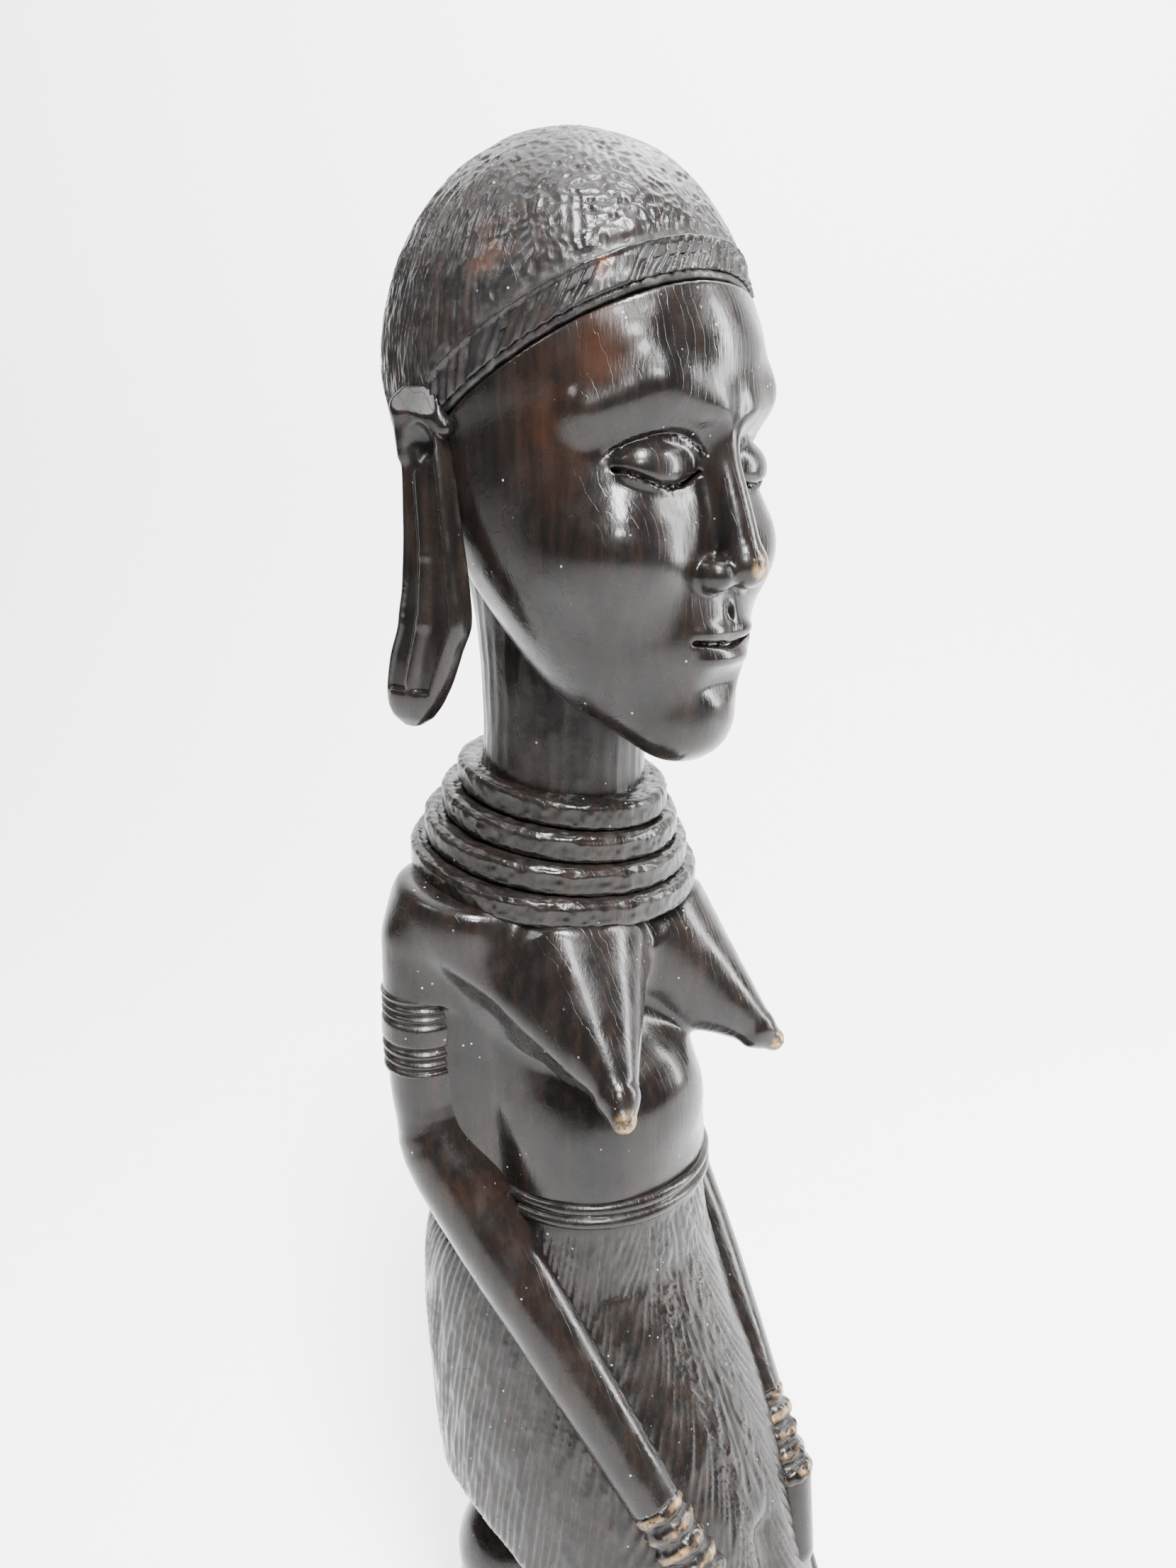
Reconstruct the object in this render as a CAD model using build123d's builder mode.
"""Kneeling ancestor figure, carved in dark wood. Millimetres, +Z up.

The figure faces -Y, its right side is at -X. The origin is the centre of the
bounding box on the plane that it rests on. Each carved region is one solid.
"""
import math
import os

from build123d import *


# Head: a skull core, with the hair and the band lying on it
SKULL_CENTRE = (0.0, 10.7, 267.5)
SKULL_RADII = (25.0, 29.0, 31.0)
HAIR_THICKNESS = 1.5
BAND_THICKNESS = 2.0
BAND_WIDTH = 5.6
BAND_LOW_POINT = (0.0, 0.0, 266.4)
BAND_RISE = 0.6
# The band runs from ear to ear. Behind the ears the hair comes down to the nape
BAND_END_Y = 14.0
HAIRLINE_BEHIND_EAR = [(21.0, 262.0), (21.0, 252.0), (26.0, 246.0)]
NAPE_HEIGHT = 243.0
HEAD_REACH = 50.0

# Face and jaw outlines: height, centre y, half width, half depth
JAW_OUTLINES = [
    (208.5, -9.5, 6.5, 6.5),
    (213.0, -7.0, 11.5, 11.0),
    (222.0, -3.0, 16.5, 16.0),
    (234.0, 1.5, 20.5, 20.5),
    (247.0, 6.0, 23.5, 25.0),
    (260.0, 9.0, 24.0, 27.5),
]

# Face: centre and radii of the nose, the lips and one closed eyelid
NOSE = ((0.0, -18.4, 238.0), (3.4, 4.2, 9.0))
LIPS = ((0.0, -17.6, 224.5), (7.0, 3.2, 3.2))
EYELID = ((9.5, -15.6, 249.5), (5.6, 3.6, 2.6))

# Neck and necklace
NECK_RADIUS = 14.0
NECK_Y = 12.0
NECK_FOOT = 178.0
NECK_TOP = 236.0
NECKLACE_TILT = 9.0
NECKLACE_ORIGIN = (0.0, 13.5, 185.6)
RING_HEIGHT = 4.6
RING_FILLET = 1.3
# Half width, half depth and centre y, from the lowest ring up
RING_SIZES = [
    (25.3, 24.0, 14.0),
    (22.7, 22.4, 13.6),
    (19.8, 20.3, 12.8),
    (17.1, 18.3, 12.2),
]

# Torso, belt and skirt outlines: height, centre y, half width, half depth
TORSO_OUTLINES = [
    (135.8, 4.0, 20.0, 17.8),
    (148.0, 7.5, 21.5, 18.4),
    (160.0, 12.0, 23.0, 18.0),
    (171.0, 15.0, 25.0, 18.5),
    (181.0, 15.5, 24.0, 18.5),
    (192.0, 15.5, 20.0, 16.0),
]
BELT_OUTLINE = (131.4, 4.0, 21.0, 18.7)
BELT_HEIGHT = 4.4
BELT_FILLET = 1.4
SKIRT_OUTLINES = [
    (131.4, 4.5, 20.0, 18.0),
    (118.0, 11.5, 24.6, 26.0),
    (104.0, 9.0, 27.0, 29.5),
    (90.0, 4.65, 28.6, 32.2),
    (76.0, 0.75, 29.6, 34.3),
    (62.0, -3.4, 29.8, 34.7),
    (48.0, -10.6, 29.6, 30.2),
    (34.0, -13.7, 29.2, 27.2),
    (20.0, -15.8, 29.0, 25.4),
    (6.0, -16.0, 28.4, 24.8),
    (0.0, -16.0, 28.0, 24.4),
]
# The hollow under the back of the skirt, where the legs are folded: y and height
HEM_OUTLINE = [
    (45.0, 66.0),
    (30.0, 62.0),
    (14.0, 57.5),
    (0.0, 52.0),
    (-8.0, 44.0),
    (-12.0, 30.0),
    (-13.0, -1.0),
    (45.0, -1.0),
]
HEM_REACH = 40.0
ROUNDNESS = 2.1
OUTLINE_POINTS = 16

# Chest
BREAST_BASE = (10.8, 1.0, 172.0)
BREAST_TIPS = {"right": (20.8, -18.2, 158.2), "left": (20.8, -18.2, 155.2)}
BREAST_BASE_RADIUS = 14.0
BREAST_TIP_RADIUS = 2.4

# Arms, for the side at +X: the other side is mirrored
SHOULDER = (18.4, 17.0, 182.0)
SHOULDER_RADII = (12.2, 13.5, 11.5)
ARM_X = 24.8
ARM_Y = 21.2
# The flesh between the upper arm and the side of the chest
WEB_TOP = (20.0, 19.0, 168.0)
WEB_FOOT = (19.5, 14.5, 142.5)
WEB_TOP_RADIUS = 6.8
WEB_FOOT_RADIUS = 6.0
UPPER_ARM_RADIUS = 6.7
ARM_TOP = 180.0
ARMLET_TOP = 169.3
ARMLET_FOOT = 156.3
ARMLET_RADIUS = 7.2
ELBOW = (24.0, 15.4, 137.6)
ELBOW_RADIUS = 7.3
WRIST = (15.8, -21.0, 86.6)
WRIST_RADIUS = 4.9
BRACELET_COUNT = 5
BRACELET_PITCH = 3.3
BRACELET_RADIUS = 5.4
BRACELET_WIDTH = 2.5
PALM = (11.2, -32.8, 62.5)
FINGERTIP = (10.4, -36.8, 51.0)
PALM_RADIUS = 4.7
FINGERTIP_RADIUS = 3.0

# Ears: an outline in the YZ plane, thickness along X
EAR_TOP = 263.0
EAR_LOBE_FOOT = 214.0
EAR_INNER_X = 22.6
EAR_THICKNESS = 5.6
EAR_OUTLINE = [
    (16.0, EAR_TOP),
    (19.4, 258.0),
    (19.4, 243.0),
    (21.2, 232.0),
    (23.6, 222.0),
    (23.6, 217.0),
    (20.6, EAR_LOBE_FOOT),
    (16.4, 215.6),
    (11.6, 222.0),
    (8.4, 229.6),
    (9.4, 240.0),
    (11.6, 256.0),
]
EAR_FILLET = 1.8

# Lower legs and feet, under the skirt
KNEE = (14.0, -10.0, 14.8)
KNEE_RADIUS = 13.8
ANKLE = (14.0, 12.5, 44.5)
ANKLE_RADIUS = 10.5
HEEL = (13.5, 15.3, 49.0)
HEEL_RADIUS = 9.6
SOLE_WIDTH = 16.0
SOLE_OUTLINE = [
    (24.4, 44.0),
    (20.6, 32.0),
    (19.2, 20.0),
    (21.4, 10.0),
    (21.4, 3.0),
    (19.0, 0.0),
    (6.0, 0.0),
    (6.0, 8.0),
    (9.0, 22.0),
    (7.0, 40.0),
]
FOOT_FILLET = 1.5

SIDES = {"right": -1, "left": 1}


def mirrored(point, side):
    """The point for one side of the figure."""
    return (side * point[0], point[1], point[2])


def outline_points(half_width, half_depth):
    """Points of a superellipse, a little squarer than an ellipse."""
    points = []
    for step in range(OUTLINE_POINTS):
        angle = 2 * math.pi * step / OUTLINE_POINTS
        across, along = math.cos(angle), math.sin(angle)
        size = (abs(across) ** ROUNDNESS + abs(along) ** ROUNDNESS) ** (-1 / ROUNDNESS)
        points.append((half_width * size * across, half_depth * size * along))
    return points


def body_outline(height, centre_y, half_width, half_depth):
    """One horizontal section of the body, at its height."""
    with BuildSketch(Plane.XY.offset(height)) as section:
        with BuildLine():
            points = outline_points(half_width, half_depth)
            Spline(*[(x, y + centre_y) for x, y in points], periodic=True)
        make_face()
    return section.sketch.face()


def ellipsoid(centre, radii):
    """A solid ellipsoid at its place."""
    with BuildPart() as form:
        Sphere(1.0)
        scale(by=radii)
    return form.part.moved(Location(centre))


def taper(start, end, start_radius, end_radius):
    """A round tapered limb from one point to another, with a ball at each end."""
    run = Vector(*end) - Vector(*start)
    with BuildPart() as form:
        with Locations(Plane(origin=start, z_dir=run)):
            Cone(start_radius, end_radius, run.length, align=(Align.CENTER, Align.CENTER, Align.MIN))
        with Locations(start):
            Sphere(start_radius)
        with Locations(end):
            Sphere(end_radius)
    return form.part


def band_top_height(y):
    """Height of the band's upper edge at a place along the figure's depth."""
    edge_rise = BAND_WIDTH * math.hypot(1, BAND_RISE)
    return BAND_LOW_POINT[2] + edge_rise - BAND_RISE * (y - BAND_LOW_POINT[1])


def finish(part, name):
    """Label one finished piece and write it."""
    part.label = name
    export_step(part, f"parts/{name}.step")


os.makedirs("parts", exist_ok=True)

# Planes that separate the carved regions
band_normal = (0.0, BAND_RISE, 1.0)
band_foot = Plane(origin=BAND_LOW_POINT, x_dir=(1, 0, 0), z_dir=band_normal)
band_top = band_foot.offset(BAND_WIDTH)
tilt = math.radians(NECKLACE_TILT)
necklace_foot = Plane(
    origin=NECKLACE_ORIGIN, x_dir=(1, 0, 0), z_dir=(0, -math.sin(tilt), math.cos(tilt))
)

# ---- Skirt: the wrap from the belt over the thighs to the ground ----
with BuildPart() as skirt:
    loft(sections=[body_outline(*outline) for outline in SKIRT_OUTLINES])
    with BuildSketch(Plane.YZ):
        with BuildLine():
            Polyline(*HEM_OUTLINE, close=True)
        make_face()
    extrude(amount=HEM_REACH, both=True, mode=Mode.SUBTRACT)
finish(skirt.part, "skirt")

# ---- Belt: the ridge round the waist ----
with BuildPart() as waist_belt:
    extrude(body_outline(*BELT_OUTLINE), amount=BELT_HEIGHT)
    fillet(waist_belt.edges().filter_by(Plane.XY), radius=BELT_FILLET)
finish(waist_belt.part, "waist_belt")

# ---- Neck: a smooth column from the shoulders into the head ----
with BuildPart() as neck_column:
    with BuildSketch(Plane.XY.offset(NECK_FOOT)):
        with Locations((0, NECK_Y)):
            Circle(NECK_RADIUS)
    extrude(amount=NECK_TOP - NECK_FOOT)

# ---- Head: skull core, jaw, nose, lips and closed eyes ----
skull = ellipsoid(SKULL_CENTRE, SKULL_RADII)
with BuildPart() as head:
    loft(sections=[body_outline(*outline) for outline in JAW_OUTLINES])
    add(skull)
    add(ellipsoid(*NOSE))
    add(ellipsoid(*LIPS))
    for side in SIDES.values():
        add(ellipsoid(mirrored(EYELID[0], side), EYELID[1]))
finish(head.part, "head")

# ---- Neck, freed from the head and cut at the foot of the necklace ----
with BuildPart() as neck:
    add(neck_column.part)
    split(bisect_by=necklace_foot, keep=Keep.TOP)
    add(head.part, mode=Mode.SUBTRACT)
finish(neck.part, "neck")

# ---- Headband: a raised band round the skull, high in front ----
band_radii = tuple(radius + BAND_THICKNESS for radius in SKULL_RADII)
with BuildPart() as headband:
    add(ellipsoid(SKULL_CENTRE, band_radii))
    split(bisect_by=band_foot, keep=Keep.TOP)
    split(bisect_by=band_top, keep=Keep.BOTTOM)
    split(bisect_by=Plane.XZ.offset(-BAND_END_Y), keep=Keep.TOP)
    add(head.part, mode=Mode.SUBTRACT)
finish(headband.part, "headband")

# ---- Hair: a close cap above the band, down to the nape behind the ears ----
hair_radii = tuple(radius + HAIR_THICKNESS for radius in SKULL_RADII)
hairless_outline = [
    (-HEAD_REACH, band_top_height(-HEAD_REACH)),
    (BAND_END_Y, band_top_height(BAND_END_Y)),
    *HAIRLINE_BEHIND_EAR,
    (HEAD_REACH, NAPE_HEIGHT),
    (HEAD_REACH, NECK_FOOT),
    (-HEAD_REACH, NECK_FOOT),
]
with BuildPart() as hair_cap:
    add(ellipsoid(SKULL_CENTRE, hair_radii))
    with BuildSketch(Plane.YZ):
        with BuildLine():
            Polyline(*hairless_outline, close=True)
        make_face()
    extrude(amount=HEAD_REACH, both=True, mode=Mode.SUBTRACT)
    add(head.part, mode=Mode.SUBTRACT)
finish(hair_cap.part, "hair_cap")

# ---- Ears: long slabs with free hanging lobes ----
for name, side in SIDES.items():
    with BuildPart() as ear:
        with BuildSketch(Plane.YZ.offset(side * EAR_INNER_X)):
            with BuildLine():
                Polyline(*EAR_OUTLINE, close=True)
            make_face()
        extrude(amount=side * EAR_THICKNESS)
        fillet(ear.edges().filter_by(Axis.X), radius=EAR_FILLET)
        add(head.part, mode=Mode.SUBTRACT)
        add(headband.part, mode=Mode.SUBTRACT)
    finish(ear.part, f"ear_{name}")

# ---- Necklace: a stack of rings round the foot of the neck ----
for level, (half_width, half_depth, centre_y) in enumerate(RING_SIZES):
    ring_plane = necklace_foot.offset(level * RING_HEIGHT)
    with BuildPart() as necklace_ring:
        with BuildSketch(ring_plane):
            with Locations((0, centre_y - NECKLACE_ORIGIN[1])):
                Ellipse(half_width, half_depth)
        extrude(amount=RING_HEIGHT)
        fillet(necklace_ring.edges(), radius=RING_FILLET)
        add(neck_column.part, mode=Mode.SUBTRACT)
    finish(necklace_ring.part, f"necklace_ring_{len(RING_SIZES) - level}")

# ---- Torso: belly, back, chest, breasts, shoulders and upper arms ----
with BuildPart() as torso:
    loft(sections=[body_outline(*outline) for outline in TORSO_OUTLINES])
    for name, side in SIDES.items():
        add(ellipsoid(mirrored(SHOULDER, side), SHOULDER_RADII))
        add(taper(mirrored(BREAST_BASE, side), mirrored(BREAST_TIPS[name], side),
                  BREAST_BASE_RADIUS, BREAST_TIP_RADIUS))
        add(taper(mirrored(WEB_TOP, side), mirrored(WEB_FOOT, side),
                  WEB_TOP_RADIUS, WEB_FOOT_RADIUS))
        with Locations((side * ARM_X, ARM_Y, ARMLET_TOP)):
            Cylinder(UPPER_ARM_RADIUS, ARM_TOP - ARMLET_TOP,
                     align=(Align.CENTER, Align.CENTER, Align.MIN))
    split(bisect_by=necklace_foot, keep=Keep.BOTTOM)
finish(torso.part, "torso")

# ---- Arms: armlet, arm with bent elbow, bracelets and hand ----
for name, side in SIDES.items():
    with BuildPart() as armlet:
        with Locations((side * ARM_X, ARM_Y, ARMLET_FOOT)):
            Cylinder(ARMLET_RADIUS, ARMLET_TOP - ARMLET_FOOT,
                     align=(Align.CENTER, Align.CENTER, Align.MIN))
        add(torso.part, mode=Mode.SUBTRACT)
    finish(armlet.part, f"armlet_{name}")

    elbow = mirrored(ELBOW, side)
    wrist = mirrored(WRIST, side)
    forearm_run = Vector(*wrist) - Vector(*elbow)
    wrist_plane = Plane(origin=wrist, z_dir=forearm_run)
    armlet_foot = (side * ARM_X, ARM_Y, ARMLET_FOOT)
    with BuildPart() as arm:
        add(taper(armlet_foot, elbow, UPPER_ARM_RADIUS, ELBOW_RADIUS))
        add(taper(elbow, wrist, ELBOW_RADIUS, WRIST_RADIUS))
        split(bisect_by=wrist_plane, keep=Keep.BOTTOM)
        split(bisect_by=Plane.XY.offset(ARMLET_FOOT), keep=Keep.BOTTOM)
        for neighbour in (torso, waist_belt, skirt):
            add(neighbour.part, mode=Mode.SUBTRACT)
    finish(arm.part, f"arm_{name}")

    with BuildPart() as bracelets:
        with Locations(wrist_plane):
            Cylinder(WRIST_RADIUS, BRACELET_COUNT * BRACELET_PITCH,
                     align=(Align.CENTER, Align.CENTER, Align.MIN))
        for turn in range(BRACELET_COUNT):
            with BuildSketch(wrist_plane.offset(turn * BRACELET_PITCH)):
                Circle(BRACELET_RADIUS)
            extrude(amount=BRACELET_WIDTH)
        add(skirt.part, mode=Mode.SUBTRACT)
    finish(bracelets.part, f"bracelets_{name}")

    hand_plane = wrist_plane.offset(BRACELET_COUNT * BRACELET_PITCH)
    with BuildPart() as hand:
        add(taper(tuple(hand_plane.origin), mirrored(PALM, side), WRIST_RADIUS, PALM_RADIUS))
        add(taper(mirrored(PALM, side), mirrored(FINGERTIP, side), PALM_RADIUS, FINGERTIP_RADIUS))
        split(bisect_by=hand_plane, keep=Keep.TOP)
        add(skirt.part, mode=Mode.SUBTRACT)
    finish(hand.part, f"hand_{name}")

# ---- Lower legs and feet: folded under the skirt, toes on the ground ----
for name, side in SIDES.items():
    with BuildPart() as lower_leg:
        add(taper(mirrored(KNEE, side), mirrored(ANKLE, side), KNEE_RADIUS, ANKLE_RADIUS))
        add(skirt.part, mode=Mode.SUBTRACT)
    finish(lower_leg.part, f"lower_leg_{name}")

    with BuildPart() as foot:
        with BuildSketch(Plane.YZ.offset(side * HEEL[0] - SOLE_WIDTH / 2)):
            with BuildLine():
                Polyline(*SOLE_OUTLINE, close=True)
            make_face()
        extrude(amount=SOLE_WIDTH)
        fillet(foot.faces().filter_by(Axis.X).edges(), radius=FOOT_FILLET)
        with Locations(mirrored(HEEL, side)):
            Sphere(HEEL_RADIUS)
        for neighbour in (lower_leg, skirt):
            add(neighbour.part, mode=Mode.SUBTRACT)
    finish(foot.part, f"foot_{name}")
